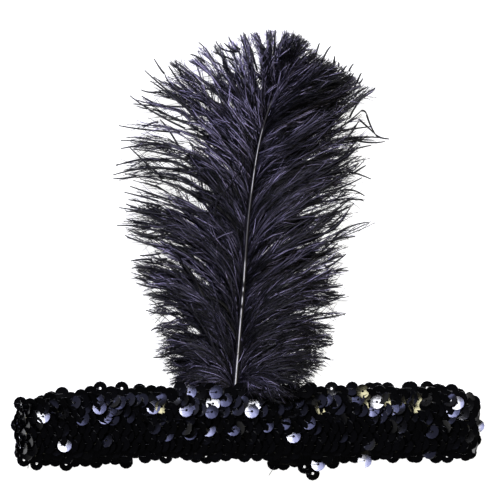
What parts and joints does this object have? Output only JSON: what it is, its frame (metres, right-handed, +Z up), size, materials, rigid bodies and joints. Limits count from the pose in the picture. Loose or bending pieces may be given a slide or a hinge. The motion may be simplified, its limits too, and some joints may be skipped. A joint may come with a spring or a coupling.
{
  "type": "flapper headband",
  "caption": "Stretch sequin headband, a closed loop of sequin strings on a knit strip lying collapsed, with an ostrich plume tucked upright behind its front.",
  "frame": {"origin": "on the surface that the headband lies on, under the middle of the band", "axes": "+X along the band, +Y towards the tip of the plume, +Z up out of the surface"},
  "size_m": [0.195, 0.1841, 0.0259],
  "materials": {
    "knit": "matt black stretch knit",
    "sequins": "glossy black plastic sequins",
    "quill": "smooth dyed horn",
    "barbs": "soft black-dyed barbs"
  },
  "bodies": {
    "root": {"knit_band": "knit", "sequin_field_front": "sequins", "sequin_field_back": "sequins", "quill": "quill", "vane_left": "barbs", "vane_right": "barbs"}
  },
  "joints": []
}
